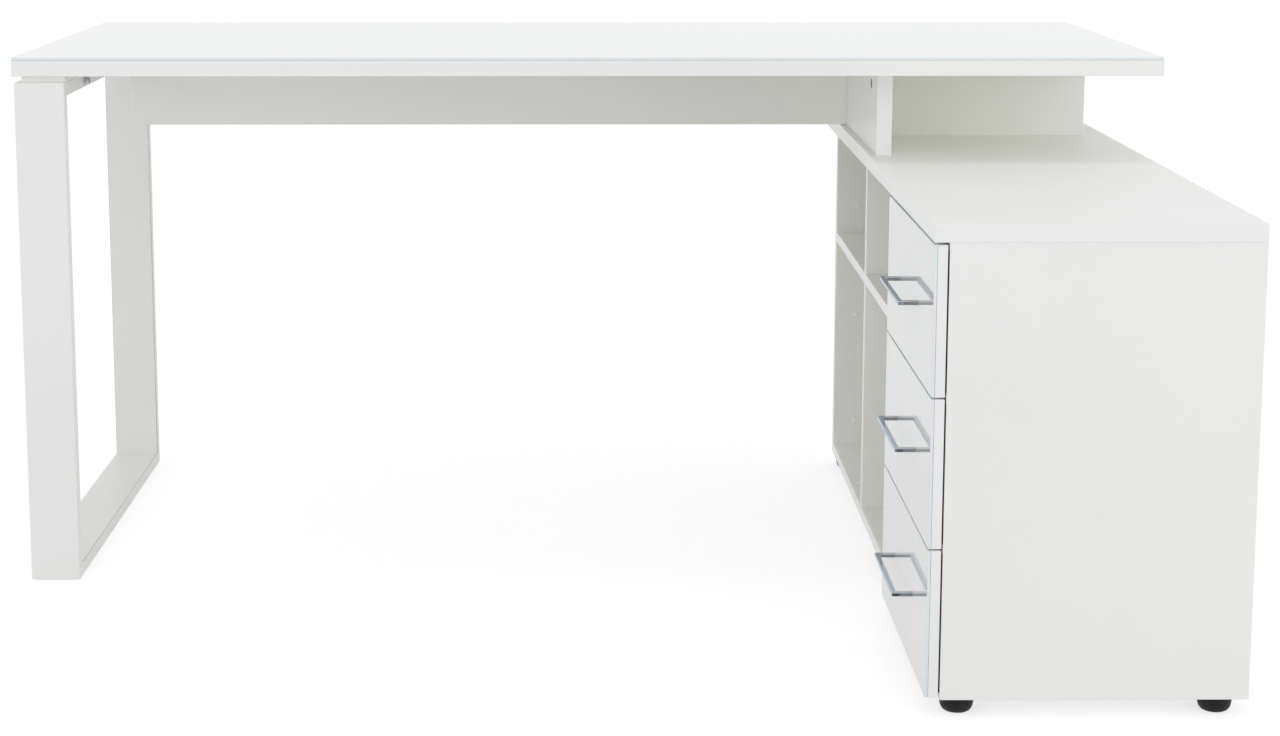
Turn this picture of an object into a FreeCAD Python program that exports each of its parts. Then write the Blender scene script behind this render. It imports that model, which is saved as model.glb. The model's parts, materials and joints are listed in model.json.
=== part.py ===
import FreeCAD, Part
import math
import os

# Corner desk: a glass-covered desktop that stands on a welded loop frame at its left end
# and, at its right end, on two upright panels over a long low cabinet.  The cabinet runs
# out in front of the desktop and holds three drawers and two open bays with a shelf.
#
# Millimetres.  X runs to the right, Y runs back and Z is up.  The desk is laid out from the
# desktop's front left corner, at floor level.  save() then moves each piece so that the
# origin is on the floor at the centre of the whole footprint, desktop and cabinet together.

Vec = FreeCAD.Vector
X_AXIS = Vec(1, 0, 0)
Y_AXIS = Vec(0, 1, 0)
Z_AXIS = Vec(0, 0, 1)

# ---------------------------------------------------------------- driving dimensions

# how far a cutter starts outside the surface it opens, and a length too small to matter
cut_margin = 1.0
hair = 0.1
# two directions count as parallel when their unit vectors' product is more than this
parallel = 0.9

# desktop
desk_width = 1600.0
desk_depth = 700.0
desk_height = 750.0
glass_thickness = 4.0
glass_corner_radius = 3.0
glass_edge_polish = 0.5
thick_board = 22.0
thin_board = 16.0
board_edge_round = 0.8

# loop frame, a rectangle of flat tube that stands in the YZ plane
frame_left = 2.0
frame_inset = 2.0
tube_width = 70.0
tube_height = 20.0
tube_wall = 2.0
tube_corner_radius = 2.5
spacer_width = 60.0
spacer_height = 9.0
spacer_setback = 8.0
glide_height = 1.5
glide_length = 60.0
glide_width = 50.0
glide_inset = 15.0
glide_round = 0.375

# clamp blocks and screws in the frame's top tube
clamp_pitch = 400.0
clamp_first = 148.0
clamp_block_length = 64.0
clamp_block_width = 40.0
clamp_block_round = 1.0
desk_screw_offset = 22.0
desk_screw_inset = 28.0
screw_thread = 6.0
screw_head = 10.0
screw_head_height = 6.0
screw_end_gap = 1.0
access_hole = 12.0
washer_diameter = 12.0
washer_thickness = 1.6
cross_bolt_reach = 24.0
insert_diameter = 9.0
insert_length = 13.0

# every socket screw: its key size as a share of the thread, and its socket's depth and its
# rim's chamfer as shares of the head's height
hex_sides = 6
socket_across = 0.83
socket_depth = 0.5
head_chamfer = 0.1

# cabinet
cabinet_right = 1594.0
cabinet_top_width = 392.0
cabinet_front_y = -574.0
cabinet_length = 1260.0
cabinet_height = 603.0
foot_height = 22.0
carcase_setback = 18.0
drawer_bay = 390.0
open_bay = 403.0
shelf_top = 401.0
back_thickness = 3.0
back_inset = 9.0
back_groove = 6.0
foot_inset = 30.0
foot_inset_left = 25.0
foot_inset_right = 34.0
foot_diameter = 42.0
foot_flat = 18.0
foot_straight = 6.0
foot_bulge_out = 0.76
foot_bulge_up = 0.31
wood_screw = 4.0
foot_screw_head = 9.0
foot_screw_head_height = 3.0
foot_screw_grip = 12.0

# upright panels between cabinet and desktop, and the apron
side_support_x = 1211.0
side_support_front = 78.0
side_support_back = 622.0
rear_support_front = 325.0
rear_support_right = 1557.0
apron_left = 81.0
apron_front = 466.0
apron_gap = 2.0

# drawers
drawer_count = 3
front_board = 12.0
front_height = 182.5
front_gap = 2.5
front_bottom_rise = 3.5
box_side = 12.0
box_length = 350.0
box_height = 130.0
box_rise = 18.0
box_bottom = 3.0
box_bottom_rise = 10.0
box_groove = 6.0
groove_slack = 1.0
runner_gap = 12.5
runner_rise = 50.5

# runners: a channel on the cabinet wall with a rail on the drawer side running inside it
channel_height = 35.0
channel_depth = 9.5
channel_lip = 2.0
rail_height = 26.0
rail_depth = 8.5
runner_metal = 1.2
runner_setback = 4.0
runner_length = 345.0
runner_screw_x = 35.0
runner_screw_pitch = 224.0
runner_screw_count = 2
runner_screw_head = 7.0
runner_screw_head_height = 1.8
runner_screw_length = 12.0

# bow handles
handle_length = 180.0
handle_reach = 26.0
handle_bar = 6.0
handle_leg = 8.0
handle_height = 5.0
handle_round = 0.8
handle_screw = 3.0
handle_screw_head = 6.4
handle_screw_head_height = 2.0
handle_screw_length = 30.0

# fittings
dowel_diameter = 8.0
dowel_length = 30.0
dowel_chamfer = 1.0
dowel_in_face = 11.0
cam_diameter = 15.0
cam_below_axis = 4.5
cam_bolt_diameter = 6.0
cam_bolt_in_face = 11.0
cam_edge = 34.0
cam_edge_short = 24.0
cam_slot_length = 9.0
cam_slot_width = 1.6
cam_slot_depth = 3.0
cap_head = 8.0
cap_head_height = 1.2
cap_head_round = 0.72
cap_stem = 5.0
cap_stem_length = 8.0

# places of the fittings, from the left edge of the carcase
cam_rows = (60.0, 310.0)
dowel_rows = (90.0, 190.0, 275.0)
divider_dowel_rows = (110.0, 260.0)
divider_dowel_shift = 30.0
# from the ends of the upright panels and of the apron
side_cam_inset = 69.0
side_dowel_step = 40.0
rear_cam_left = 90.0
rear_cam_right = 60.0
corner_cam_rises = (42.0, 82.0)
apron_cam_count = 4
apron_dowel_shift = 50.0
# caps: on the far bay's floor, and low on the side support
floor_cap_inset = 15.0
floor_cap_back = 137.0
support_cap_backs = (107.0, 132.0)
support_cap_rise = 62.0

# ---------------------------------------------------------------- worked-out levels

board_top = desk_height - glass_thickness
board_bottom = board_top - thick_board
frame_top = board_bottom - spacer_height
frame_right = frame_left + tube_width
frame_front = frame_inset
frame_back = desk_depth - frame_inset

cabinet_left = cabinet_right - cabinet_top_width
carcase_left = cabinet_left + carcase_setback
carcase_top = cabinet_height - thick_board
floor_top = foot_height + thin_board
cabinet_back_y = cabinet_front_y + cabinet_length
bay_wall = cabinet_front_y + thin_board
divider_1 = bay_wall + drawer_bay
bay_2 = divider_1 + thin_board
divider_2 = bay_2 + open_bay
bay_3 = divider_2 + thin_board
far_wall = bay_3 + open_bay
back_panel_x = cabinet_right - back_inset - back_thickness
shelf_bottom = shelf_top - thin_board

front_x = cabinet_left
front_board_x = front_x + glass_thickness
box_x = front_board_x + front_board
first_front_z = foot_height + front_bottom_rise
front_pitch = front_height + front_gap
side_support_right = side_support_x + thick_board

footprint_centre = Vec(desk_width / 2, (cabinet_front_y + desk_depth) / 2, 0)

os.makedirs("parts", exist_ok=True)


# ---------------------------------------------------------------- shapes and helpers

def save(name, shape):
    """Write one node.  A list of separate solids goes in as one group."""
    if isinstance(shape, list):
        shape = Part.makeCompound(shape)
    placed = shape.translated(footprint_centre * -1)
    placed.exportStep("parts/" + name + ".step")


def block(x, y, z, rounding=0.0):
    """A box between the (low, high) pairs, with all its edges rounded."""
    size = (x[1] - x[0], y[1] - y[0], z[1] - z[0])
    box = Part.makeBox(size[0], size[1], size[2], Vec(x[0], y[0], z[0]))
    if rounding:
        box = box.makeFillet(rounding, box.Edges)
    return box


def rod(start, direction, diameter, length, chamfer=0.0):
    """A round bar from a point along a direction, with chamfered ends."""
    bar = Part.makeCylinder(diameter / 2, length, start, direction)
    if chamfer:
        rims = [edge for edge in bar.Edges if isinstance(edge.Curve, Part.Circle)]
        bar = bar.makeChamfer(chamfer, rims)
    return bar


def hex_socket(start, direction, across, depth):
    """The hexagonal hole of a socket screw."""
    corner = across / 2 / math.cos(math.pi / hex_sides)
    points = []
    for turn in range(hex_sides + 1):
        angle = 2 * math.pi * turn / hex_sides
        points.append(Vec(corner * math.cos(angle), corner * math.sin(angle), 0))
    prism = Part.Face(Part.makePolygon(points)).extrude(Vec(0, 0, depth))
    prism.Placement = FreeCAD.Placement(start, FreeCAD.Rotation(Z_AXIS, direction))
    return prism


def socket_screw(seat, direction, thread, head, head_height, reach):
    """A cap screw: its head stands back from the seat and its thread runs along direction."""
    back = direction * -head_height
    shaft = rod(seat, direction, thread, reach)
    cap = rod(seat + back, direction, head, head_height, head_height * head_chamfer)
    socket = hex_socket(seat + back, direction, thread * socket_across,
                        head_height * socket_depth)
    return shaft.fuse(cap).cut(socket)


def socket_screw_room(seat, direction, thread, head, head_height, reach):
    """The space that a cap screw takes up, its socket included."""
    shaft = rod(seat, direction, thread, reach)
    return shaft.fuse(rod(seat - direction * head_height, direction, head, head_height))


def overlaps(shape, other):
    return shape.BoundBox.intersect(other.BoundBox)


def bored(board, rooms):
    """A board with room cut out for every fitting that reaches into it."""
    for room in rooms:
        if overlaps(board, room):
            board = board.cut(room)
    return board


# ---------------------------------------------------------------- knock-down fittings

dowels = []
cam_locks = []
cam_bolts = []
cover_caps = []
fitting_rooms = []


def add_dowel(joint, direction, in_face):
    """A dowel across a joint; in_face is how deep it sits on the far side of the joint."""
    start = joint + direction * (in_face - dowel_length)
    dowels.append(rod(start, direction, dowel_diameter, dowel_length, dowel_chamfer))
    fitting_rooms.append(rod(start, direction, dowel_diameter, dowel_length))


def add_cam(joint, direction, face, board, edge_distance):
    """A cam lock and its bolt.

    joint is where the bolt crosses the joint, direction runs along the bolt into the mating
    board, face is the normal of the face that the cam is set in, and board is the thickness
    of the board that holds the cam.
    """
    centre = joint - direction * edge_distance
    depth = board / 2 + cam_below_axis
    mouth = centre + face * (board / 2)
    disc = rod(mouth - face * depth, face, cam_diameter, depth)
    bolt = rod(centre, direction, cam_bolt_diameter, edge_distance + cam_bolt_in_face)
    cross = direction.cross(face)
    slot = Part.makeBox(cam_slot_length, cam_slot_width, cam_slot_depth,
                        Vec(-cam_slot_length / 2, -cam_slot_width / 2, -cam_slot_depth))
    slot.Placement = FreeCAD.Placement(mouth, FreeCAD.Rotation(cross, face.cross(cross), face))
    second = slot.copy()
    second.rotate(mouth, face, 90)
    cam_locks.append(disc.cut(bolt).cut(slot).cut(second))
    cam_bolts.append(bolt)
    fitting_rooms.append(disc)
    fitting_rooms.append(bolt)


def add_cap(point, outward):
    """A push-in cap over a hole that this side of the cabinet doesn't use."""
    head = rod(point, outward, cap_head, cap_head_height)
    rim = [e for e in head.Edges if isinstance(e.Curve, Part.Circle)
           and (e.Curve.Center - point).dot(outward) > cap_head_height / 2]
    head = head.makeFillet(cap_head_round, rim)
    stem = rod(point, outward * -1, cap_stem, cap_stem_length)
    cover_caps.append(head.fuse(stem))
    fitting_rooms.append(stem)


def place_carcase_fittings():
    cam_xs = [carcase_left + row for row in cam_rows]
    dowel_xs = [carcase_left + row for row in dowel_rows]
    floor_mid = foot_height + thin_board / 2
    ends = ((bay_wall, Y_AXIS * -1), (far_wall, Y_AXIS))
    for wall_y, outward in ends:
        panel_mid = wall_y + outward.y * thin_board / 2
        for x in cam_xs:
            # floor to end panel, and end panel to cabinet top
            add_cam(Vec(x, wall_y, floor_mid), outward, Z_AXIS * -1, thin_board, cam_edge)
            add_cam(Vec(x, panel_mid, carcase_top), Z_AXIS, outward * -1, thin_board, cam_edge)
        for x in dowel_xs:
            add_dowel(Vec(x, wall_y, floor_mid), outward, dowel_in_face)
            add_dowel(Vec(x, panel_mid, carcase_top), Z_AXIS, dowel_in_face)
    shelf_mid = shelf_top - thin_board / 2
    shelf_ends = ((bay_2, Y_AXIS * -1), (far_wall, Y_AXIS))
    for wall_y, outward in shelf_ends:
        for x in cam_xs:
            add_cam(Vec(x, wall_y, shelf_mid), outward, Z_AXIS * -1, thin_board, cam_edge)
        for x in dowel_xs[1:]:
            add_dowel(Vec(x, wall_y, shelf_mid), outward, dowel_in_face)
    dividers = ((divider_1 + thin_board / 2, floor_top, carcase_top),
                (divider_2 + thin_board / 2, floor_top, None),
                (divider_2 + thin_board / 2, None, carcase_top))
    for mid_y, low, high in dividers:
        for x in cam_xs:
            if low is not None:
                add_cam(Vec(x, mid_y, low), Z_AXIS * -1, Y_AXIS, thin_board, cam_edge)
            if high is not None:
                add_cam(Vec(x, mid_y, high), Z_AXIS, Y_AXIS, thin_board, cam_edge)
    for row in divider_dowel_rows:
        # the two halves of the middle divider are pinned to the shelf side by side
        x = carcase_left + row
        mid_y = divider_2 + thin_board / 2
        add_dowel(Vec(x, mid_y, shelf_bottom), Z_AXIS, dowel_diameter)
        add_dowel(Vec(x + divider_dowel_shift, mid_y, shelf_top), Z_AXIS * -1, dowel_diameter)


def place_support_fittings():
    ends = (side_support_front + side_cam_inset, side_support_back - side_cam_inset)
    support_mid = side_support_x + thick_board / 2
    for y in ends:
        add_cam(Vec(support_mid, y, board_bottom), Z_AXIS, X_AXIS * -1,
                thick_board, cam_edge_short)
        add_cam(Vec(support_mid, y, cabinet_height), Z_AXIS * -1, X_AXIS,
                thick_board, cam_edge_short)
    for y in (ends[0] + side_dowel_step, ends[1] - side_dowel_step):
        add_dowel(Vec(support_mid, y, board_bottom), Z_AXIS, dowel_in_face)
        add_dowel(Vec(support_mid, y, cabinet_height), Z_AXIS * -1, dowel_in_face)
    rear_mid = rear_support_front + thick_board / 2
    for x in (side_support_right + rear_cam_left, rear_support_right - rear_cam_right):
        add_cam(Vec(x, rear_mid, board_bottom), Z_AXIS, Y_AXIS, thick_board, cam_edge_short)
        add_cam(Vec(x, rear_mid, cabinet_height), Z_AXIS * -1, Y_AXIS,
                thick_board, cam_edge_short)
    apron_mid = apron_front + thin_board / 2
    for rise in corner_cam_rises:
        z = cabinet_height + rise
        add_cam(Vec(side_support_right, rear_mid, z), X_AXIS * -1, Y_AXIS,
                thick_board, cam_edge_short)
        add_cam(Vec(side_support_x, apron_mid, z), X_AXIS, Y_AXIS,
                thin_board, cam_edge_short)
    apron_length = side_support_x - apron_left
    for step in range(apron_cam_count):
        x = apron_left + apron_length * (step + 0.5) / apron_cam_count
        add_cam(Vec(x, apron_mid, board_bottom), Z_AXIS, Y_AXIS, thin_board, cam_edge_short)
        add_dowel(Vec(x + apron_dowel_shift, apron_mid, board_bottom), Z_AXIS, dowel_in_face)


def place_caps():
    for level in range(drawer_count):
        z = first_front_z + level * front_pitch + runner_rise
        for step in range(runner_screw_count):
            x = carcase_left + runner_screw_x + step * runner_screw_pitch
            add_cap(Vec(x, far_wall, z), Y_AXIS * -1)
    for x in (carcase_left + floor_cap_inset, back_panel_x - floor_cap_inset):
        add_cap(Vec(x, bay_3 + floor_cap_back, floor_top), Z_AXIS)
    for back in support_cap_backs:
        place = Vec(side_support_x, side_support_front + back, cabinet_height + support_cap_rise)
        add_cap(place, X_AXIS * -1)


# ---------------------------------------------------------------- desktop and frame

def make_glass(width, depth, low, high, corner):
    """A flat sheet with rounded corners and polished edges, between two levels."""
    sheet = Part.makeBox(width, depth, high - low, Vec(0, 0, low))
    uprights = [e for e in sheet.Edges if abs(e.tangentAt(e.FirstParameter).z) > parallel]
    sheet = sheet.makeFillet(corner, uprights)
    rims = [e for e in sheet.Edges if e.BoundBox.ZLength < glass_edge_polish]
    return sheet.makeChamfer(glass_edge_polish, rims)


def make_desktop():
    save("glass_top", make_glass(desk_width, desk_depth, board_top, desk_height,
                                 glass_corner_radius))
    board = block((0, desk_width), (0, desk_depth), (board_bottom, board_top),
                  board_edge_round)
    rooms = fitting_rooms + [insert_room(point) for point in desk_screw_points()]
    save("desktop_board", bored(board, rooms))


def clamp_centres():
    return [clamp_first, clamp_first + clamp_pitch]


def desk_screw_points():
    """Where the frame's upright screws cross the underside of the desktop board."""
    x = frame_right - tube_wall - desk_screw_inset
    points = []
    for y in clamp_centres():
        points.append(Vec(x, y - desk_screw_offset, board_bottom))
        points.append(Vec(x, y + desk_screw_offset, board_bottom))
    return points


def insert_room(point):
    return rod(point, Z_AXIS, insert_diameter, insert_length)


def mitred_tube(corners, axis):
    """A hollow flat tube with mitred ends.

    corners are the (y, z) corners of its outline, the outer edge first and the inner edge
    second; axis is the direction in which it runs.
    """
    def prism(points, x_low, x_high):
        outline = [Vec(x_low, y, z) for y, z in points]
        outline.append(outline[0])
        return Part.Face(Part.makePolygon(outline)).extrude(Vec(x_high - x_low, 0, 0))

    outer = prism(corners, frame_left, frame_right)
    long_edges = [e for e in outer.Edges
                  if abs(e.tangentAt(e.FirstParameter).dot(axis)) > parallel]
    outer = outer.makeFillet(tube_corner_radius, long_edges)
    inward = Vec(0, 0, 0)
    for y, z in corners[2:]:
        inward += Vec(0, y, z) * 0.5
    for y, z in corners[:2]:
        inward -= Vec(0, y, z) * 0.5
    inward.normalize()
    # the hollow's corners slide along the mitres, so that it is open at both ends
    slides = [inward + axis, inward - axis, axis - inward, inward * -1 - axis]
    hollow = []
    for (y, z), slide in zip(corners, slides):
        hollow.append((y + slide.y * tube_wall, z + slide.z * tube_wall))
    return outer.cut(prism(hollow, frame_left + tube_wall, frame_right - tube_wall))


def make_frame():
    low, high = glide_height, frame_top
    front, back = frame_front, frame_back
    t = tube_height
    save("frame_front_post", mitred_tube(
        [(front, low), (front, high), (front + t, high - t), (front + t, low + t)], Z_AXIS))
    save("frame_rear_post", mitred_tube(
        [(back, low), (back, high), (back - t, high - t), (back - t, low + t)], Z_AXIS))
    save("frame_bottom_tube", mitred_tube(
        [(front, low), (back, low), (back - t, low + t), (front + t, low + t)], Y_AXIS))
    top = mitred_tube(
        [(front, high), (back, high), (back - t, high - t), (front + t, high - t)], Y_AXIS)
    make_frame_fixings(top)
    glides = []
    for y in (front + glide_inset, back - glide_inset - glide_length):
        x = frame_left + (tube_width - glide_width) / 2
        glides.append(block((x, x + glide_width), (y, y + glide_length),
                            (0, glide_height), glide_round))
    save("frame_glides", glides)


def make_frame_fixings(top_tube):
    """Clamp blocks inside the top tube, the screws that run up into the desktop board and
    the bolts that hold each block against the tube's inner wall."""
    tube_floor = frame_top - tube_height
    block_low = tube_floor + tube_wall
    block_high = frame_top - tube_wall
    block_right = frame_right - tube_wall
    mid_z = frame_top - tube_height / 2
    blocks, bolts, washers, screws, inserts = [], [], [], [], []
    spacer = block((frame_right - spacer_width, frame_right),
                   (frame_front + spacer_setback, frame_back - spacer_setback),
                   (frame_top, board_bottom), board_edge_round)
    for point in desk_screw_points():
        head_seat = Vec(point.x, point.y, block_low + screw_head_height)
        reach = board_bottom + insert_length - screw_end_gap - head_seat.z
        size = (screw_thread, screw_head, screw_head_height, reach)
        screws.append(socket_screw(head_seat, Z_AXIS, *size))
        room = socket_screw_room(head_seat, Z_AXIS, *size)
        inserts.append(insert_room(point).cut(room))
        spacer = spacer.cut(room)
        top_tube = top_tube.cut(room)
        access = Vec(point.x, point.y, tube_floor - cut_margin)
        top_tube = top_tube.cut(rod(access, Z_AXIS, access_hole, tube_wall + cut_margin))
    for y in clamp_centres():
        seat = Vec(frame_right + washer_thickness, y, mid_z)
        inward = X_AXIS * -1
        size = (screw_thread, screw_head, screw_head_height, cross_bolt_reach)
        bolts.append(socket_screw(seat, inward, *size))
        room = socket_screw_room(seat, inward, *size)
        washer = rod(Vec(frame_right, y, mid_z), X_AXIS, washer_diameter, washer_thickness)
        washers.append(washer.cut(room))
        top_tube = top_tube.cut(room)
        clamp = block((block_right - clamp_block_width, block_right),
                      (y - clamp_block_length / 2, y + clamp_block_length / 2),
                      (block_low, block_high), clamp_block_round)
        for point in desk_screw_points():
            head_seat = Vec(point.x, point.y, block_low + screw_head_height)
            hole = socket_screw_room(head_seat, Z_AXIS, screw_thread, screw_head,
                                     screw_head_height, tube_height)
            if overlaps(clamp, hole):
                clamp = clamp.cut(hole)
        blocks.append(clamp.cut(room))
    save("frame_top_tube", top_tube)
    save("frame_spacer", spacer)
    save("frame_clamp_blocks", blocks)
    save("frame_cross_bolts", bolts)
    save("frame_cross_washers", washers)
    save("frame_desk_screws", screws)
    save("desktop_inserts", inserts)


# ---------------------------------------------------------------- uprights and cabinet

def make_supports():
    side = block((side_support_x, side_support_right), (side_support_front, side_support_back),
                 (cabinet_height, board_bottom), board_edge_round)
    save("side_support", bored(side, fitting_rooms))
    rear = block((side_support_right, rear_support_right),
                 (rear_support_front, rear_support_front + thick_board),
                 (cabinet_height, board_bottom), board_edge_round)
    save("rear_support", bored(rear, fitting_rooms))
    apron = block((apron_left, side_support_x), (apron_front, apron_front + thin_board),
                  (cabinet_height + apron_gap, board_bottom), board_edge_round)
    save("apron", bored(apron, fitting_rooms))


def make_cabinet():
    back = block((back_panel_x, back_panel_x + back_thickness),
                 (bay_wall - back_groove, far_wall + back_groove),
                 (floor_top - back_groove, carcase_top + back_groove))
    save("cabinet_back", back)
    screw_rooms = [room for _, room in runner_screws()]
    foot_rooms = [room for _, room in foot_screws()]
    rooms = fitting_rooms + screw_rooms + foot_rooms + [back]
    inner = (carcase_left, back_panel_x)
    outer = (carcase_left, cabinet_right)
    upright = (foot_height, carcase_top)
    boards = {
        "cabinet_top": ((cabinet_left, cabinet_right), (cabinet_front_y, cabinet_back_y),
                        (carcase_top, cabinet_height)),
        "drawer_end_panel": (outer, (cabinet_front_y, bay_wall), upright),
        "shelf_end_panel": (outer, (far_wall, cabinet_back_y), upright),
        "cabinet_floor": (outer, (bay_wall, far_wall), (foot_height, floor_top)),
        "drawer_divider": (inner, (divider_1, bay_2), (floor_top, carcase_top)),
        "shelf": (inner, (bay_2, far_wall), (shelf_bottom, shelf_top)),
        "lower_divider": (inner, (divider_2, bay_3), (floor_top, shelf_bottom)),
        "upper_divider": (inner, (divider_2, bay_3), (shelf_top, carcase_top)),
    }
    for name, (x, y, z) in boards.items():
        save(name, bored(block(x, y, z, board_edge_round), rooms))


def foot_places():
    rows_x = (carcase_left + foot_inset_left, cabinet_right - foot_inset_right)
    rows_y = (cabinet_front_y + foot_inset, (cabinet_front_y + cabinet_back_y) / 2,
              cabinet_back_y - foot_inset)
    return [(x, y) for x in rows_x for y in rows_y]


def foot_screws():
    """Each foot's screw, with the room it takes up."""
    pairs = []
    for x, y in foot_places():
        seat = Vec(x, y, foot_height / 2)
        size = (wood_screw, foot_screw_head, foot_screw_head_height,
                foot_height / 2 + foot_screw_grip)
        pairs.append((socket_screw(seat, Z_AXIS, *size),
                      socket_screw_room(seat, Z_AXIS, *size)))
    return pairs


def make_feet():
    """Domed glides: a short straight rim, then one arc down to a flat ring on the floor."""
    rim = foot_diameter / 2
    flat = foot_flat / 2
    shoulder = foot_height - foot_straight
    bulge = Vec(flat + (rim - flat) * foot_bulge_out, 0, shoulder * foot_bulge_up)
    feet = []
    for x, y in foot_places():
        path = [
            Part.makeLine(Vec(0, 0, 0), Vec(flat, 0, 0)),
            Part.Arc(Vec(flat, 0, 0), bulge, Vec(rim, 0, shoulder)).toShape(),
            Part.makeLine(Vec(rim, 0, shoulder), Vec(rim, 0, foot_height)),
            Part.makeLine(Vec(rim, 0, foot_height), Vec(0, 0, foot_height)),
            Part.makeLine(Vec(0, 0, foot_height), Vec(0, 0, 0)),
        ]
        foot = Part.Face(Part.Wire(path)).revolve(Vec(0, 0, 0), Z_AXIS, 360)
        foot.translate(Vec(x, y, 0))
        well = rod(Vec(x, y, 0), Z_AXIS, foot_screw_head, foot_height / 2)
        shank = rod(Vec(x, y, 0), Z_AXIS, wood_screw, foot_height)
        feet.append(foot.cut(well).cut(shank))
    save("cabinet_feet", feet)
    save("foot_screws", [screw for screw, _ in foot_screws()])


# ---------------------------------------------------------------- runners and drawers

def runner_profile(wall_y, side, depth, height, lip):
    """A channel's section: its web stands on wall_y and its flanges run towards side."""
    metal = runner_metal
    half = height / 2
    points = [(0, -half), (depth, -half)]
    if lip:
        lip_end = lip - half + metal
        points += [(depth, lip_end), (depth - metal, lip_end), (depth - metal, metal - half)]
    else:
        points += [(depth, metal - half)]
    points += [(metal, metal - half)]
    points += [(reach, -rise) for reach, rise in reversed(points)]
    points.append(points[0])
    return [(wall_y + side * reach, rise) for reach, rise in points]


def runner(profile, x_low, z_mid):
    wire = Part.makePolygon([Vec(x_low, y, z_mid + rise) for y, rise in profile])
    return Part.Face(wire).extrude(Vec(runner_length, 0, 0))


def runner_z(level):
    return first_front_z + level * front_pitch + runner_rise


def runner_walls():
    """The two cabinet walls beside the drawers, each with the direction into the bay."""
    return ((bay_wall, 1), (divider_1, -1))


def runner_screws():
    """The screws that hold the channels to the walls, with the room they take up."""
    pairs = []
    for level in range(drawer_count):
        for wall_y, side in runner_walls():
            for step in range(runner_screw_count):
                x = carcase_left + runner_screw_x + step * runner_screw_pitch
                seat = Vec(x, wall_y + side * runner_metal, runner_z(level))
                size = (wood_screw, runner_screw_head, runner_screw_head_height,
                        runner_screw_length)
                direction = Y_AXIS * -side
                pairs.append((socket_screw(seat, direction, *size),
                              socket_screw_room(seat, direction, *size)))
    return pairs


def make_runner_channels():
    channels = []
    rooms = [room for _, room in runner_screws()]
    for level in range(drawer_count):
        for wall_y, side in runner_walls():
            profile = runner_profile(wall_y, side, channel_depth, channel_height, channel_lip)
            channel = runner(profile, carcase_left + runner_setback, runner_z(level))
            channels.append(bored(channel, rooms))
    save("runner_channels", channels)
    save("runner_screws", [screw for screw, _ in runner_screws()])


def make_handle(centre_y, centre_z):
    """A square bow: a bar with a leg at each end, its inner corners slightly eased."""
    low, high = centre_y - handle_length / 2, centre_y + handle_length / 2
    z = (centre_z - handle_height / 2, centre_z + handle_height / 2)
    outer = block((front_x - handle_reach, front_x), (low, high), z)
    gap = block((front_x - handle_reach + handle_bar, front_x + cut_margin),
                (low + handle_leg, high - handle_leg), (z[0] - cut_margin, z[1] + cut_margin))
    bow = outer.cut(gap)
    eased = [e for e in bow.Edges if e.BoundBox.XMax < front_x - hair
             or e.BoundBox.XLength > handle_bar]
    return bow.makeFillet(handle_round, eased)


def make_drawer(name, level):
    z_low = first_front_z + level * front_pitch
    z_high = z_low + front_height
    front_y = (cabinet_front_y, bay_2)
    handle_y = (front_y[0] + front_y[1]) / 2
    handle_z = (z_low + z_high) / 2
    leg_offset = (handle_length - handle_leg) / 2

    screws, screw_room = [], []
    for y in (handle_y - leg_offset, handle_y + leg_offset):
        seat = Vec(box_x, y, handle_z)
        size = (handle_screw, handle_screw_head, handle_screw_head_height,
                handle_screw_length)
        screws.append(socket_screw(seat, X_AXIS * -1, *size))
        screw_room.append(socket_screw_room(seat, X_AXIS * -1, *size))

    low, high = bay_wall + runner_gap, divider_1 - runner_gap
    box_low = z_low + box_rise
    side_z = (box_low, box_low + box_height)
    box_back = box_x + box_length
    floor_z = (box_low + box_bottom_rise, box_low + box_bottom_rise + box_bottom)
    floor = block((box_x - box_groove + groove_slack, box_back),
                  (low + box_side - box_groove, high - box_side + box_groove), floor_z)

    glass = block((front_x, front_board_x), front_y, (z_low, z_high), glass_edge_polish)
    save(name + "_glass_front", bored(glass, screw_room))
    board = block((front_board_x, box_x), front_y, (z_low, z_high), glass_edge_polish)
    save(name + "_front_board", bored(board, screw_room + [floor]))
    near = block((box_x, box_back), (low, low + box_side), side_z, glass_edge_polish)
    save(name + "_near_side", near.cut(floor))
    far = block((box_x, box_back), (high - box_side, high), side_z, glass_edge_polish)
    save(name + "_far_side", far.cut(floor))
    back = block((box_back - box_side, box_back), (low + box_side, high - box_side),
                 (floor_z[1], side_z[1]), glass_edge_polish)
    save(name + "_back", back)
    save(name + "_bottom", floor)
    save(name + "_handle", bored(make_handle(handle_y, handle_z), screw_room))
    save(name + "_handle_screws", screws)
    rails = []
    for wall_y, side in ((low, -1), (high, 1)):
        profile = runner_profile(wall_y, side, rail_depth, rail_height, 0)
        rails.append(runner(profile, box_x + runner_setback, runner_z(level)))
    save(name + "_runner_rails", rails)


# ---------------------------------------------------------------- build

place_carcase_fittings()
place_support_fittings()
place_caps()

make_desktop()
make_frame()
make_supports()
make_cabinet()
make_feet()
make_runner_channels()
for drawer_level, drawer_name in enumerate(("lower_drawer", "middle_drawer", "upper_drawer")):
    make_drawer(drawer_name, drawer_level)

save("dowels", dowels)
save("cam_locks", cam_locks)
save("cam_bolts", cam_bolts)
save("cover_caps", cover_caps)
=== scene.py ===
# %% [markdown]
# # A white corner desk, piece by piece
#
# The desk is an L: a glass-covered desktop stands on a loop frame of flat steel tube at its left
# end, and on two upright panels over a long low cabinet at its right end.  The cabinet holds
# three glass-fronted drawers and two open bays with a shelf.
#
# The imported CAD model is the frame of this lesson.  Its pieces already have their true sizes and
# places, in metres, with the floor at height zero.  Boards and drawer boxes keep their CAD shape
# and only get a finish.  Glass, steel, handles, feet, caps and fittings are built again here,
# because their edges catch the light and deserve better.

# %% Load the frame
import json
import math

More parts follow.
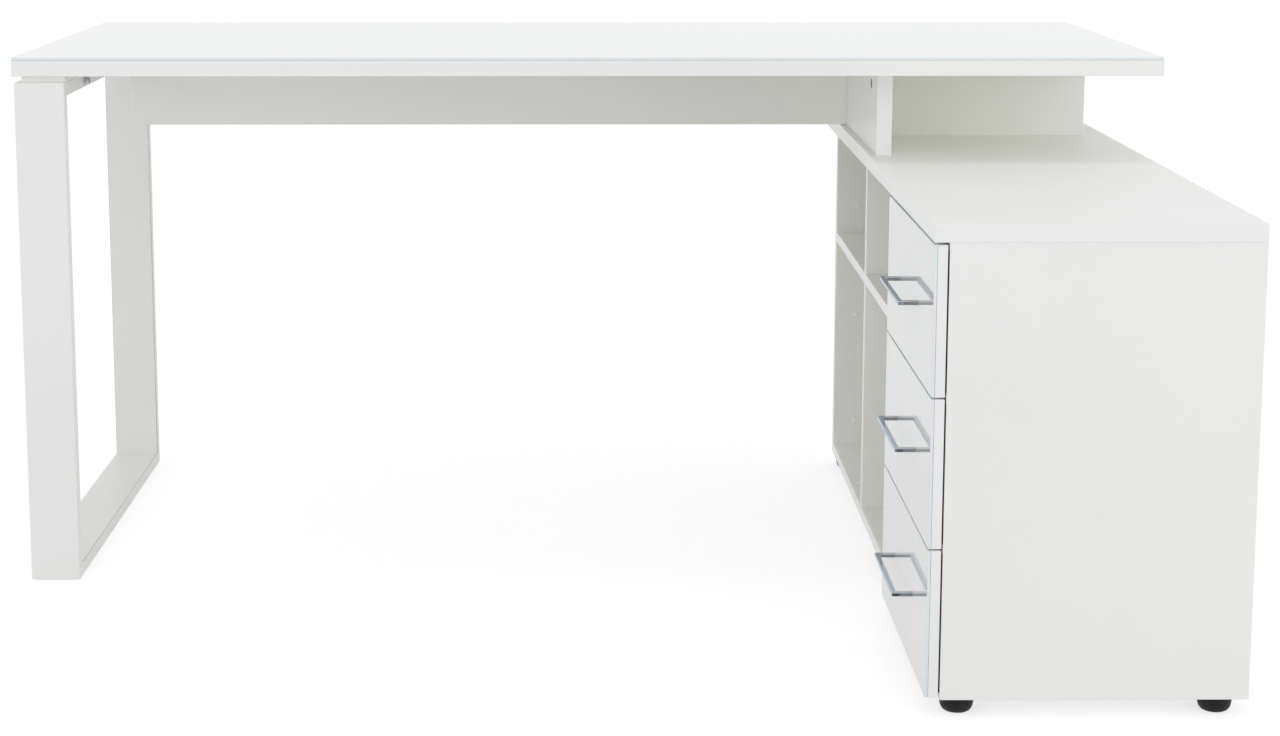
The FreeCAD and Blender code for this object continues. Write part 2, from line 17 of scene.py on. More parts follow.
import bmesh
import bpy
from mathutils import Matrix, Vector


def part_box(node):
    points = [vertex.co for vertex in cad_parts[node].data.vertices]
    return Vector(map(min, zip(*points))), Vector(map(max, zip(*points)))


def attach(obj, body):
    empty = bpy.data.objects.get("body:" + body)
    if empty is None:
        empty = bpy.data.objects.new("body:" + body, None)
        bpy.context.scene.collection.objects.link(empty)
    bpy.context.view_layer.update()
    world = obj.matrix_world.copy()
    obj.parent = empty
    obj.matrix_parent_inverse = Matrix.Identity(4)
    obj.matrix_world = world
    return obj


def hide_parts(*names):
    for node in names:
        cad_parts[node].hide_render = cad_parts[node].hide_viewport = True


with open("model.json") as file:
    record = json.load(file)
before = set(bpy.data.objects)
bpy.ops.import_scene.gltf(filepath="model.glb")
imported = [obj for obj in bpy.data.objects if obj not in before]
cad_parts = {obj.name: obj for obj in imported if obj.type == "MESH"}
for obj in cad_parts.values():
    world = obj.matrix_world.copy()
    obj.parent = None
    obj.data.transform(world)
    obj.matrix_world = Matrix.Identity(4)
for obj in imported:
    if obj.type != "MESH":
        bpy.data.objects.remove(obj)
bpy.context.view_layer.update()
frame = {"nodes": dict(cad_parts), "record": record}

MM = 0.001
HAIR = 0.001 * MM
print("pieces in the frame:", len(frame["nodes"]))

# %% [markdown]
# ## Placing nodes by hand and by code
#
# Materials and Geometry Nodes are both graphs.  In the editor each node is dropped, set and wired
# by hand; a script does the same three things over and over.  One small helper does them in one
# call, so that the rest of the lesson reads like a recipe: which node, which settings, and what
# flows into it.  A value that is a socket becomes a wire; anything else is typed into the field.

# %% A helper that drops, sets and wires a node
def put(tree, kind, inputs=None, **settings):
    """Add a node of that kind to a tree and return it."""
    node = tree.nodes.new(kind)
    for name, value in settings.items():
        setattr(node, name, value)
    for name, value in (inputs or {}).items():
        socket = node.inputs[name]
        if isinstance(value, bpy.types.NodeSocket):
            tree.links.new(value, socket)
        else:
            socket.default_value = value
    return node


def calc(tree, operation, first, second=0.0):
    """One arithmetic node, wired and ready: its result."""
    return put(tree, "ShaderNodeMath", {0: first, 1: second}, operation=operation).outputs[0]


print("node helper ready")

# %% [markdown]
# ## Finishes
#
# Every finish starts from the same shader.  What makes one white surface different from another
# is small: how sharp its highlights are, and the texture that a fingertip would feel.  Each
# recipe therefore says three things: the colour, the gloss, and the relief, with the real size of
# that relief in millimetres.  Patterns read Object coordinates, which are metres here because no
# piece is ever scaled, so a grain of half a millimetre is half a millimetre everywhere.

# %% Start a material, and give it relief
def start_finish(name, colour, roughness, **more):
    """A new material with its plain values set on the shader itself."""
    material = bpy.data.materials.new(name)
    material.use_nodes = True
    shader = material.node_tree.nodes["Principled BSDF"]
    shader.inputs["Base Color"].default_value = (*colour, 1.0)
    shader.inputs["Roughness"].default_value = roughness
    for socket, value in more.items():
        shader.inputs[socket.replace("_", " ")].default_value = value
    return material, material.node_tree, shader


def grain(tree, size, detail=2.0, stretch=None):
    """A noise whose lumps are about `size` metres across; stretch squeezes it along an axis."""
    place = put(tree, "ShaderNodeTexCoord").outputs["Object"]
    if stretch:
        place = put(tree, "ShaderNodeMapping", {"Vector": place, "Scale": stretch}).outputs[0]
    noise = put(tree, "ShaderNodeTexNoise", {"Vector": place, "Scale": 1 / size, "Detail": detail})
    return noise.outputs["Fac"]


def spread(tree, fac, low, high):
    """A 0 to 1 pattern, stretched to run from low to high around its busy middle."""
    return put(tree, "ShaderNodeMapRange", {
        "Value": fac, "From Min": 0.3, "From Max": 0.7, "To Min": low, "To Max": high}).outputs[0]


def tint(tree, fac, one, other):
    """A colour between two others, chosen by a pattern."""
    mix = put(tree, "ShaderNodeMix", {0: fac, 6: (*one, 1.0), 7: (*other, 1.0)}, data_type="RGBA")
    return mix.outputs[2]


def vary_gloss(tree, shader, pattern, low, high):
    """Roughness that follows a pattern between two values."""
    tree.links.new(spread(tree, pattern, low, high), shader.inputs["Roughness"])


def vary_colour(tree, shader, pattern, one, other):
    """Colour that follows a pattern between two others."""
    tree.links.new(tint(tree, spread(tree, pattern, 0.0, 1.0), one, other),
                   shader.inputs["Base Color"])


def relief(tree, shader, height, depth, strength):
    """Bump of a real depth in metres."""
    bump = put(tree, "ShaderNodeBump", {"Height": height, "Distance": depth, "Strength": strength})
    tree.links.new(bump.outputs[0], shader.inputs["Normal"])


print("finish helpers ready")

# %% [markdown]
# ### White melamine board
#
# Chipboard faced with white melamine, its cut edges covered with a plastic band.  The broad faces
# carry a fine pearl texture, pressed in by the plate of the laminating press.  The band is
# extruded and smoother, and a hair whiter.  Which is which depends on the direction of the
# surface: on a lying board the faces look up or down, on an upright one they look sideways.  The
# material reads the surface direction, so it needs one version for each way a board can lie.

# %% Melamine for boards that lie or stand
PEARL = 0.55 * MM
FACE_FROM, FACE_FULL = 0.55, 0.75
BAND_GLOSS = 0.33
MELAMINE_SHADE = (0.880, 0.884, 0.842)
MELAMINE_LIGHT = (0.895, 0.899, 0.858)
BAND_SHADE = (0.890, 0.898, 0.866)


def melamine(name, thin_axis):
    """The board finish for boards whose thin side runs along one axis, 0 to 2 for X to Z."""
    material, tree, shader = start_finish(name, MELAMINE_LIGHT, 0.42)
    normal = put(tree, "ShaderNodeTexCoord").outputs["Normal"]
    parts = put(tree, "ShaderNodeSeparateXYZ", {0: normal})
    along = calc(tree, "ABSOLUTE", parts.outputs[thin_axis])
    is_face = put(tree, "ShaderNodeMapRange", {
        "Value": along, "From Min": FACE_FROM, "From Max": FACE_FULL}).outputs[0]
    cloud = spread(tree, grain(tree, 0.22, 3.0), 0.0, 1.0)
    face_colour = tint(tree, cloud, MELAMINE_SHADE, MELAMINE_LIGHT)
    blend = put(tree, "ShaderNodeMix", {0: is_face, 6: (*BAND_SHADE, 1.0), 7: face_colour},
                data_type="RGBA")
    tree.links.new(blend.outputs[2], shader.inputs["Base Color"])
    pearl = grain(tree, PEARL, 2.0)
    face_gloss = spread(tree, pearl, 0.40, 0.50)
    gloss = put(tree, "ShaderNodeMix", {0: is_face, 2: BAND_GLOSS, 3: face_gloss})
    tree.links.new(gloss.outputs[0], shader.inputs["Roughness"])
    strength = put(tree, "ShaderNodeMapRange", {"Value": is_face, "To Min": 0.12, "To Max": 0.5})
    relief(tree, shader, pearl, 0.03 * MM, strength.outputs[0])
    return material


melamine_by_axis = [melamine("melamine_" + way, axis)
                    for axis, way in enumerate(("facing_sideways", "facing_front", "lying"))]
print("melamine:", [m.name for m in melamine_by_axis])

# %% [markdown]
# ### Foil, painted hardboard and beech
#
# The drawer boxes are wrapped in plain white foil, a little duller than the melamine.  Drawer
# bottoms and the cabinet's back are thin hardboard, painted white on the side that shows, with the
# faint flecks of its fibres.  The dowels are bare beech: a warm brown with fine streaks along the
# grain, made by squeezing a noise across it.

# %% Foil, hardboard and beech
drawer_foil, tree, shader = start_finish("white_drawer_foil", (0.85, 0.852, 0.825), 0.5)
weave = grain(tree, 0.9 * MM, 3.0)
vary_gloss(tree, shader, weave, 0.46, 0.56)
vary_colour(tree, shader, grain(tree, 0.15, 3.0), (0.842, 0.844, 0.815), (0.862, 0.864, 0.838))
relief(tree, shader, weave, 0.02 * MM, 0.4)

hardboard, tree, shader = start_finish("painted_hardboard", (0.84, 0.842, 0.815), 0.6)
fibres = grain(tree, 1.6 * MM, 5.0, (1.0, 0.35, 1.0))
vary_colour(tree, shader, fibres, (0.815, 0.812, 0.78), (0.858, 0.86, 0.835))
vary_gloss(tree, shader, fibres, 0.55, 0.68)
relief(tree, shader, fibres, 0.04 * MM, 0.5)

beech, tree, shader = start_finish("bare_beech", (0.55, 0.36, 0.2), 0.6)
streaks = grain(tree, 0.8 * MM, 4.0, (1.0, 1.0, 0.08))
vary_colour(tree, shader, streaks, (0.46, 0.28, 0.15), (0.62, 0.43, 0.26))
relief(tree, shader, streaks, 0.06 * MM, 0.5)
print("wood-based finishes:", drawer_foil.name, hardboard.name, beech.name)

# %% [markdown]
# ### Back-painted glass and its edge
#
# The desktop and the drawer fronts carry sheets of safety glass, painted white on the hidden
# side.  Light enters, meets the paint 4 mm down and comes back, so the sheet looks white with a
# mirror on top of it.  A transparent shader would trace all that at great cost.  A glossy white
# shader looks the same from outside, because nothing can be seen through the paint anyway.
#
# Only the cut edge shows that it is glass: there light travels lengthwise through the sheet and
# comes out pale aqua.  So the edge is a finish of its own.

# %% Glass face and glass edge
def backed_glass(name, paint):
    """Glass painted on its hidden side, with the slow ripple of float glass."""
    material, tree, shader = start_finish(name, paint, 0.04, IOR=1.52)
    lighter = [channel + 0.014 for channel in paint]
    vary_gloss(tree, shader, grain(tree, 0.03, 4.0), 0.025, 0.06)
    vary_colour(tree, shader, grain(tree, 0.4), paint, lighter)
    relief(tree, shader, grain(tree, 0.09, 1.0), 0.02 * MM, 0.5)
    return material


glass_face = backed_glass("white_backed_glass", (0.795, 0.808, 0.788))
# The drawer fronts' paint is darker: partly a greyer white, partly painted shade for the dimmer
# light on the fronts.
front_glass_greyer_with_painted_shade = backed_glass("greyer_backed_glass_with_painted_shade", (0.675, 0.678, 0.658))

glass_edge, tree, shader = start_finish("aqua_glass_edge", (0.8, 0.875, 0.88), 0.12, IOR=1.52)
streak = grain(tree, 2.5 * MM, 3.0)
vary_colour(tree, shader, streak, (0.775, 0.86, 0.865), (0.82, 0.89, 0.893))
vary_gloss(tree, shader, streak, 0.08, 0.2)
relief(tree, shader, streak, 0.004 * MM, 0.4)
print("glass finishes:", glass_face.name, front_glass_greyer_with_painted_shade.name, glass_edge.name)

# %% [markdown]
# ### Powder coat, chrome and zinc
#
# The loop frame is powder-coated: the powder melts into a skin with a soft orange-peel ripple,
# two or three millimetres from crest to crest.  The handles are bright chrome, nearly a mirror,
# with the faint smear that handling leaves.  Screws and runners are zinc-plated, which is a duller
# grey with a mottled gloss, and the cam locks are bare zinc castings, darker and grainy.

# %% Metal finishes
powder_coat, tree, shader = start_finish("white_powder_coat", (0.882, 0.885, 0.848), 0.38)
peel = grain(tree, 2.2 * MM, 1.5)
vary_gloss(tree, shader, grain(tree, 0.3 * MM), 0.34, 0.44)
vary_colour(tree, shader, grain(tree, 0.2), (0.872, 0.876, 0.838), (0.888, 0.892, 0.856))
relief(tree, shader, peel, 0.05 * MM, 0.35)

chrome, tree, shader = start_finish("bright_chrome", (0.6, 0.63, 0.67), 0.06, Metallic=1.0,
                                     Specular_Tint=(0.68, 0.74, 0.8, 1.0))
smear = grain(tree, 12 * MM, 5.0, (1.0, 0.3, 1.0))
vary_gloss(tree, shader, smear, 0.04, 0.13)
relief(tree, shader, grain(tree, 6 * MM, 1.0), 0.01 * MM, 0.3)

zinc_plate, tree, shader = start_finish("zinc_plate", (0.5, 0.51, 0.53), 0.34, Metallic=1.0)
mottle = grain(tree, 1.5 * MM, 4.0)
vary_gloss(tree, shader, mottle, 0.25, 0.45)
vary_colour(tree, shader, mottle, (0.42, 0.43, 0.45), (0.56, 0.57, 0.59))
relief(tree, shader, grain(tree, 0.25 * MM), 0.01 * MM, 0.5)

zinc_casting, tree, shader = start_finish("zinc_casting", (0.22, 0.21, 0.2), 0.5, Metallic=1.0)
sand = grain(tree, 0.5 * MM, 4.0)
vary_gloss(tree, shader, sand, 0.4, 0.6)
vary_colour(tree, shader, sand, (0.15, 0.142, 0.132), (0.29, 0.278, 0.262))
relief(tree, shader, sand, 0.04 * MM, 0.6)

brass, tree, shader = start_finish("turned_brass", (0.72, 0.55, 0.28), 0.3, Metallic=1.0)
turning = grain(tree, 0.4 * MM, 2.0, (1.0, 1.0, 6.0))
vary_gloss(tree, shader, turning, 0.22, 0.4)
relief(tree, shader, turning, 0.01 * MM, 0.6)
print("metals:", [m.name for m in (powder_coat, chrome, zinc_plate, zinc_casting, brass)])

# %% [markdown]
# ### Plastics
#
# Feet are moulded in black plastic with a fine spark-eroded grain that keeps the highlight soft.
# Caps are white plastic, and the pads under the loop frame are a soft milky one.

# %% Plastics
black_plastic, tree, shader = start_finish("black_moulded_plastic", (0.01, 0.01, 0.0105), 0.45,
                                            Specular_IOR_Level=0.22)
spark = grain(tree, 0.35 * MM, 3.0)
vary_gloss(tree, shader, spark, 0.4, 0.54)
vary_colour(tree, shader, grain(tree, 8 * MM), (0.007, 0.007, 0.0075), (0.014, 0.014, 0.0145))
relief(tree, shader, spark, 0.02 * MM, 0.6)

white_plastic, tree, shader = start_finish("white_moulded_plastic", (0.95, 0.953, 0.945), 0.2,
                                            Specular_IOR_Level=0.9)
skin = grain(tree, 0.6 * MM, 2.0)
vary_gloss(tree, shader, skin, 0.14, 0.24)
vary_colour(tree, shader, grain(tree, 5 * MM), (0.94, 0.944, 0.935), (0.96, 0.963, 0.955))
relief(tree, shader, skin, 0.01 * MM, 0.4)

milky_plastic, tree, shader = start_finish(
    "milky_soft_plastic", (0.74, 0.74, 0.72), 0.45, Transmission_Weight=0.2)
haze = grain(tree, 3 * MM, 3.0)
vary_gloss(tree, shader, haze, 0.4, 0.55)
vary_colour(tree, shader, haze, (0.7, 0.7, 0.68), (0.78, 0.78, 0.765))
relief(tree, shader, haze, 0.03 * MM, 0.4)
print("plastics:", black_plastic.name, white_plastic.name, milky_plastic.name)

# %% [markdown]
# ## Finishing the CAD pieces
#
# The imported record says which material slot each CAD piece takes.  A dictionary from slot to
# finish dresses them all at once.  Only the boards need one more look: the thinnest side of a
# board's box tells which way it faces.

# %% Dress every CAD piece
finish_of_slot = {
    "safety_glass": glass_face, "drawer_board": drawer_foil, "white_hardboard": hardboard,
    "white_steel": powder_coat, "zinc_steel": zinc_plate, "zinc_cast": zinc_casting,
    "brass": brass, "chrome": chrome, "black_plastic": black_plastic,
    "white_plastic": white_plastic, "clear_plastic": milky_plastic, "beech": beech,
}
for part in frame["record"]["subparts"]:
    node, slot_name = part["node"], part["material_slot"]
    if slot_name == "white_board":
        low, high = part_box(node)
        sides = list(high - low)
        finish = melamine_by_axis[sides.index(min(sides))]
    else:
        finish = finish_of_slot[slot_name]
    mesh = frame["nodes"][node].data
    mesh.materials.clear()
    mesh.materials.append(finish)

# %% [markdown]
# ## Growing a piece from a tree
#
# Geometry Nodes work on a host: a mesh that holds only what the tree needs, such as an outline or
# a handful of places.  The helper below puts a host in the scene, hangs the tree on it, types the
# sizes into the tree's named inputs, rounds the edges if asked, and keeps the outcome as a plain
# mesh.  The host and the modifiers are gone afterwards, so the finished piece sits at the origin
# with its place in its mesh, as the CAD pieces do.

# %% Start a tree, and grow a piece from it
def start_tree(name, sizes):
    """A geometry tree with a named input for each size; returns the tree and its input node."""
    tree = bpy.data.node_groups.new(name, "GeometryNodeTree")
    tree.is_modifier = True
    tree.interface.new_socket("Geometry", in_out="INPUT", socket_type="NodeSocketGeometry")
    tree.interface.new_socket("Geometry", in_out="OUTPUT", socket_type="NodeSocketGeometry")
    for label, kind in sizes.items():
        tree.interface.new_socket(label, in_out="INPUT", socket_type="NodeSocket" + kind)
    return tree, tree.nodes.new("NodeGroupInput").outputs


def join(tree, *geometries):
    """Several geometries as one."""
    node = put(tree, "GeometryNodeJoinGeometry")
    for geometry in geometries:
        tree.links.new(geometry, node.inputs[0])
    return node.outputs[0]


def end_tree(tree, geometry):
    """Wire the last geometry to the tree's output."""
    tree.links.new(geometry, tree.nodes.new("NodeGroupOutput").inputs[0])


def grow(name, tree, host, values, rounding=None, arris_slot=-1):
    """Run a tree on a host mesh and return the result as a plain mesh object."""
    holder = bpy.data.objects.new(name + "_host", host)
    bpy.context.scene.collection.objects.link(holder)
    modifier = holder.modifiers.new("tree", "NODES")
    modifier.node_group = tree
    for socket in tree.interface.items_tree:
        if socket.in_out == "INPUT" and socket.name in values:
            modifier[socket.identifier] = values[socket.name]
    if rounding:
        width, steps = rounding
        bevel = holder.modifiers.new("rounding", "BEVEL")
        bevel.limit_method = "WEIGHT"
        bevel.width = width
        bevel.segments = steps
        bevel.harden_normals = True
        bevel.material = arris_slot
    depsgraph = bpy.context.evaluated_depsgraph_get()
    mesh = bpy.data.meshes.new_from_object(holder.evaluated_get(depsgraph))
    bpy.data.objects.remove(holder)
    mesh.name = name
    piece = bpy.data.objects.new(name, mesh)
    bpy.context.scene.collection.objects.link(piece)
    print(f"{name}: {len(mesh.polygons)} faces")
    return piece


def place_piece(piece, body, slot_name, *nodes):
    """The piece rides on a body and stands for CAD nodes."""
    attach(piece, body)
    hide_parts(*nodes)


# %% [markdown]
# ## Plates: glass sheets, the loop frame and the handles
#
# Three very different pieces are the same idea.  A glass sheet, the frame of mitred tube and a
# bow handle are each a flat outline with a thickness.  The tree takes closed outlines that lie in
# the XY plane, rounds their corners, fills them, and lifts the fill into a solid.  An outline
# inside another becomes a hole, which is how the frame gets its loop.
#
# A bevel by weight then eases the edges.  The tree writes those weights itself: edges around the
# outline get the full rounding, upright corners get a share of it, and edges inside a flat face
# get none.

# %% The plate tree
CORNER_FOLD = math.radians(40)
plate, size_in = start_tree("plate_from_outline", {
    "Thickness": "Float", "Corner Radius": "Float", "Upright Share": "Float",
    "Turn": "Rotation", "Place": "Vector", "Face Finish": "Material", "Edge Finish": "Material"})
outline = put(plate, "GeometryNodeMeshToCurve", {"Mesh": size_in["Geometry"]})
is_round = calc(plate, "GREATER_THAN", size_in["Corner Radius"], 0.0)
rounded = put(plate, "GeometryNodeFilletCurve", {
    "Curve": outline.outputs[0], "Count": 6, "Radius": size_in["Corner Radius"]}, mode="POLY")
corners = put(plate, "GeometryNodeSwitch", {
    "Switch": is_round, "False": outline.outputs[0], "True": rounded.outputs[0]},
    input_type="GEOMETRY")
fill = put(plate, "GeometryNodeFillCurve", {"Curve": corners.outputs[0]}, mode="NGONS")
upward = put(plate, "ShaderNodeCombineXYZ", {"Z": 1.0})
lifted = put(plate, "GeometryNodeExtrudeMesh", {
    "Mesh": fill.outputs[0], "Offset": upward.outputs[0],
    "Offset Scale": size_in["Thickness"], "Individual": False})
underside = put(plate, "GeometryNodeFlipFaces", {"Mesh": fill.outputs[0]})
both = join(plate, lifted.outputs["Mesh"], underside.outputs[0])
solid = put(plate, "GeometryNodeMergeByDistance", {"Geometry": both, "Distance": HAIR})
ends = put(plate, "GeometryNodeInputMeshEdgeVertices")
run = put(plate, "ShaderNodeVectorMath", {0: ends.outputs["Position 2"],
                                          1: ends.outputs["Position 1"]}, operation="SUBTRACT")
run_parts = put(plate, "ShaderNodeSeparateXYZ", {0: run.outputs[0]})
climb = calc(plate, "ABSOLUTE", run_parts.outputs["Z"])
is_upright = calc(plate, "GREATER_THAN", climb, 0.01 * MM)
share = put(plate, "ShaderNodeMix", {0: is_upright, 2: 1.0, 3: size_in["Upright Share"]})
fold = put(plate, "GeometryNodeInputMeshEdgeAngle")
is_corner = calc(plate, "GREATER_THAN", fold.outputs["Unsigned Angle"], CORNER_FOLD)
weight = calc(plate, "MULTIPLY", share.outputs[0], is_corner)
weighted = put(plate, "GeometryNodeStoreNamedAttribute", {
    "Geometry": solid.outputs[0], "Name": "bevel_weight_edge", "Value": weight},
    data_type="FLOAT", domain="EDGE")
facing = put(plate, "GeometryNodeInputNormal")
facing_parts = put(plate, "ShaderNodeSeparateXYZ", {0: facing.outputs["Normal"]})
tilt = calc(plate, "ABSOLUTE", facing_parts.outputs["Z"])
is_rim = calc(plate, "LESS_THAN", tilt, 0.5)
smooth = put(plate, "GeometryNodeSetShadeSmooth", {"Geometry": weighted.outputs[0]})
faces = put(plate, "GeometryNodeSetMaterial", {
    "Geometry": smooth.outputs[0], "Material": size_in["Face Finish"]})
rims = put(plate, "GeometryNodeSetMaterial", {
    "Geometry": faces.outputs[0], "Selection": is_rim, "Material": size_in["Edge Finish"]})
laid = put(plate, "GeometryNodeTransform", {
    "Geometry": rims.outputs[0], "Rotation": size_in["Turn"], "Translation": size_in["Place"]})
end_tree(plate, laid.outputs[0])
print("plate tree:", len(plate.nodes), "nodes")


# %% [markdown]
# Hosts for plates are closed loops of edges.  A sheet that lies flat needs no turn.  One that
# stands across the desk is drawn lying and then turned so that its drawn X and Y become the
# desk's Y and Z, and its thickness runs to the right.

# %% Outlines and turns
LYING = (0.0, 0.0, 0.0)
STANDING = (math.radians(90), 0.0, math.radians(90))


def outline_host(name, *loops):
    """A mesh of closed loops, each a list of (x, y) corners."""
    mesh = bpy.data.meshes.new(name)
    points, edges = [], []
    for loop in loops:
        first = len(points)
        points += [(x, y, 0.0) for x, y in loop]
        edges += [(first + i, first + (i + 1) % len(loop)) for i in range(len(loop))]
    mesh.from_pydata(points, edges, [])
    return mesh


def rectangle(low, high):
    """The corners of an upright rectangle between two (x, y) points."""
    return [(low[0], low[1]), (high[0], low[1]), (high[0], high[1]), (low[0], high[1])]


print("outline helpers ready")

# %% [markdown]
# ### Sheets of glass
#
# The cover of the desktop has corners of 3 mm radius, and every edge is ground and polished with
# a narrow arris.  One flat bevel step makes that arris.  It catches a line of light that tells
# the eye the sheet is glass, even from across the room.  Each sheet lies on thin clear pads, so
# a sixth of a millimetre of air is left under it, which reads as a fine dark seam.

# %% The desktop's glass cover
GLASS_ARRIS = 0.5 * MM
SEAM = 0.15 * MM
low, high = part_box("glass_top")
glass_cover = grow(
    "glass_cover", plate,
    outline_host("cover_outline", rectangle(low.xy, high.xy)),
    {"Thickness": high.z - low.z - SEAM, "Corner Radius": 3 * MM, "Upright Share": 0.0,
     "Turn": LYING, "Place": (0.0, 0.0, low.z + SEAM), "Face Finish": glass_face,
     "Edge Finish": glass_edge},
    rounding=(GLASS_ARRIS, 1), arris_slot=1)
place_piece(glass_cover, "desk", "safety_glass", "glass_top")

# %% The glass of the three drawer fronts
drawers = ("lower_drawer", "middle_drawer", "upper_drawer")
for drawer in drawers:
    low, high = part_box(drawer + "_glass_front")
    sheet = grow(
        drawer + "_glass", plate,
        outline_host("front_outline", rectangle(low.yz, high.yz)),
        {"Thickness": high.x - low.x - SEAM, "Corner Radius": 0.8 * MM, "Upright Share": 0.0,
         "Turn": STANDING, "Place": (low.x, 0.0, 0.0), "Face Finish": front_glass_greyer_with_painted_shade,
         "Edge Finish": glass_edge},
        rounding=(GLASS_ARRIS, 1), arris_slot=1)
    place_piece(sheet, drawer, "safety_glass", drawer + "_glass_front")

# %% [markdown]
# ### The loop frame
#
# Four lengths of flat tube are cut at 45 degrees, welded into a rectangle and ground smooth before
# the powder goes on, so from outside it is one piece.  Two nested rectangles give it: the outer
# one runs round the outside of the posts and bars, the inner one round the open loop.  The long
# edges keep the tube's own radius, while the welded corners are much crisper.

# %% The blank of the loop
TUBE_ROUNDING = 2.5 * MM
front_post, rear_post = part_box("frame_front_post"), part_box("frame_rear_post")
bottom_bar, top_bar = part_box("frame_bottom_tube"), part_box("frame_top_tube")
outside = rectangle((front_post[0].y, bottom_bar[0].z), (rear_post[1].y, top_bar[1].z))
inside = rectangle((front_post[1].y, bottom_bar[1].z), (rear_post[0].y, top_bar[0].z))
loop_blank = grow(
    "loop_blank", plate, outline_host("loop_outline", outside, inside),
    {"Thickness": front_post[1].x - front_post[0].x, "Corner Radius": 0.0,
     "Upright Share": 0.35, "Turn": STANDING, "Place": (front_post[0].x, 0.0, 0.0),
     "Face Finish": powder_coat, "Edge Finish": powder_coat},
    rounding=(TUBE_ROUNDING, 4))

# %% [markdown]
# ### Bow handles
#
# Each handle is a flat bow: a bar with a leg at each end, cut from one outline that looks like a
# wide bracket.  Its edges are eased by less than a millimetre before it is plated.

# %% Three bow handles
BAR = 6 * MM
LEG = 8 * MM
BOW_ROUNDING = 0.8 * MM
for drawer in drawers:
    low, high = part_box(drawer + "_handle")
    bow = [(low.x, low.y), (high.x, low.y), (high.x, low.y + LEG), (low.x + BAR, low.y + LEG),
           (low.x + BAR, high.y - LEG), (high.x, high.y - LEG), (high.x, high.y),
           (low.x, high.y)]
    handle = grow(
        drawer + "_bow_handle", plate, outline_host("bow_outline", bow),
        {"Thickness": high.z - low.z, "Corner Radius": 0.0, "Upright Share": 1.0, "Turn": LYING,
         "Place": (0.0, 0.0, low.z), "Face Finish": chrome, "Edge Finish": chrome},
        rounding=(BOW_ROUNDING, 3))
    place_piece(handle, drawer, "chrome", drawer + "_handle")

# %% [markdown]
# ## Fittings
#
# Feet, caps, cam locks, washers and screws are small turned parts, and each kind comes in several
# copies.  The CAD model knows where every copy sits: the separate solids of a node give it.  The
# helper below walks over each solid and measures it.  The side of its box that is unlike the
# other two is its axis, and the end with the most outline around the axis is its head.

# %% Find where the copies sit, and which way they face
HEAD_LAYER = 0.02 * MM


def head_and_facing(points):
    """The middle of a turned solid's head, where the head looks, and how long the solid is."""
    low = Vector([min(point[i] for point in points) for i in range(3)])
    high = Vector([max(point[i] for point in points) for i in range(3)])
    centre, side = (low + high) / 2, high - low
    axis = max(range(3), key=lambda i: abs(3 * side[i] - sum(side)))
    outline = {}
    for sign in (-1, 1):
        level = centre[axis] + sign * side[axis] / 2
        rim = [point - centre for point in points if abs(point[axis] - level) < HEAD_LAYER]
        outline[sign] = sum((spoke.length_squared - spoke[axis] ** 2) ** 0.5 for spoke in rim)
    facing = Vector((0.0, 0.0, 0.0))
    facing[axis] = max(outline, key=outline.get)
    return centre + facing * side[axis] / 2, facing, side[axis]


def places_host(node):
    """A mesh with one loose point for each separate solid of a CAD node, with its facing."""
    solids = bmesh.new()
    solids.from_mesh(frame["nodes"][node].data)
    bmesh.ops.remove_doubles(solids, verts=solids.verts, dist=HAIR)
    places, known = [], set()
    for seed in solids.verts:
        if seed in known:
            continue
        island, to_visit = {seed}, [seed]
        while to_visit:
            vert = to_visit.pop()
            for edge in vert.link_edges:
                other = edge.other_vert(vert)
                if other not in island:
                    island.add(other)
                    to_visit.append(other)
        known |= island
        places.append(head_and_facing([vert.co.copy() for vert in island]))
    solids.free()
    mesh = bpy.data.meshes.new(node + "_places")
    mesh.from_pydata([place for place, _, _ in places], [], [])
    mesh.attributes.new("facing", "FLOAT_VECTOR", "POINT")
    mesh.attributes.new("length", "FLOAT", "POINT")
    for i, (_, facing, length) in enumerate(places):
        mesh.attributes["facing"].data[i].vector = facing
        mesh.attributes["length"].data[i].value = length
    print(node, "sits in", len(places), "places")
    return mesh


# %% [markdown]
# ### A lathe made of nodes
#
# A turned part is a profile spun round an axis.  In nodes that is a flat grid, rolled up: one
# direction of the grid becomes the angle, and the other one runs along the profile.  Two Float
# Curves hold the profile, one for the radius and one for the height, as shares of the full size.
# So the same few nodes turn a foot, a cap or a screw head.  Every part is made with its head at
# the origin and hangs down from it.

# %% The lathe
CRISP_FOLD = math.radians(35)


def along_profile(tree, step, values):
    """A curve that gives the profile's values one after another, with straight runs between."""
    curve = put(tree, "ShaderNodeFloatCurve", {"Value": step})
    points = curve.mapping.curves[0].points
    last = len(values) - 1
    for i in range(1, last):
        points.new(i / last, values[i])
    points[0].location = (0.0, values[0])
    points[last].location = (1.0, values[last])
    for point in points:
        point.handle_type = "VECTOR"
    curve.mapping.update()
    return curve.outputs[0]


